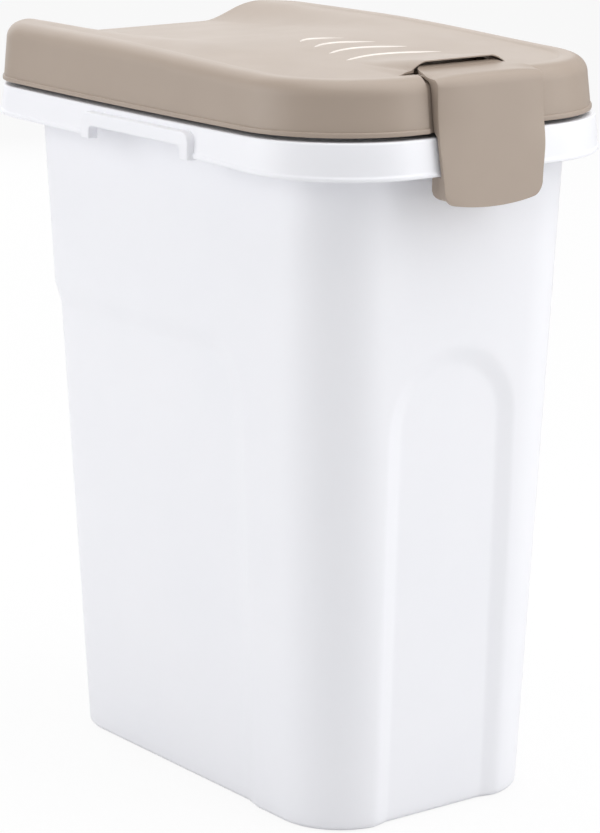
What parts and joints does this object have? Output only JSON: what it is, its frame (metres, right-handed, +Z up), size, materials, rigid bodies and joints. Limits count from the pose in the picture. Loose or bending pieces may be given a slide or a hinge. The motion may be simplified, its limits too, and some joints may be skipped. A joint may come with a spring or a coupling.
{
  "type": "lidded kitchen food bin",
  "caption": "Tall tapered kitchen bin for dry food, with a banked hinged lid, a clasp that hooks under the rim, and finger openings in the rim.",
  "frame": {"origin": "centre of the base's underside, on the plane the bin stands on", "axes": "+Z up, -Y towards the clasp at the front, +Y towards the lid's hinges, +X to the right seen from the front"},
  "size_m": [0.3028, 0.4485, 0.5473],
  "materials": {
    "bin_plastic": "satin",
    "lid_plastic": "satin",
    "seal_rubber": "matte",
    "pin_steel": "brushed"
  },
  "bodies": {
    "bin": {"bin_body": "bin_plastic", "hinge_pin_left": "bin_plastic", "hinge_pin_right": "bin_plastic"},
    "lid": {"lid": "lid_plastic", "lid_seal": "seal_rubber", "clasp_pin": "pin_steel"},
    "clasp": {"clasp": "lid_plastic"}
  },
  "joints": [
    {"name": "lid_hinge", "type": "hinge", "parent": "bin", "child": "lid", "pos_m": [0, 0.2185, 0.503], "axis": [-1, 0, 0], "range_deg": [0, 105]},
    {"name": "clasp_pivot", "type": "hinge", "parent": "lid", "child": "clasp", "pos_m": [0, -0.1885, 0.5376], "axis": [-1, 0, 0], "range_deg": [0, 70]}
  ]
}
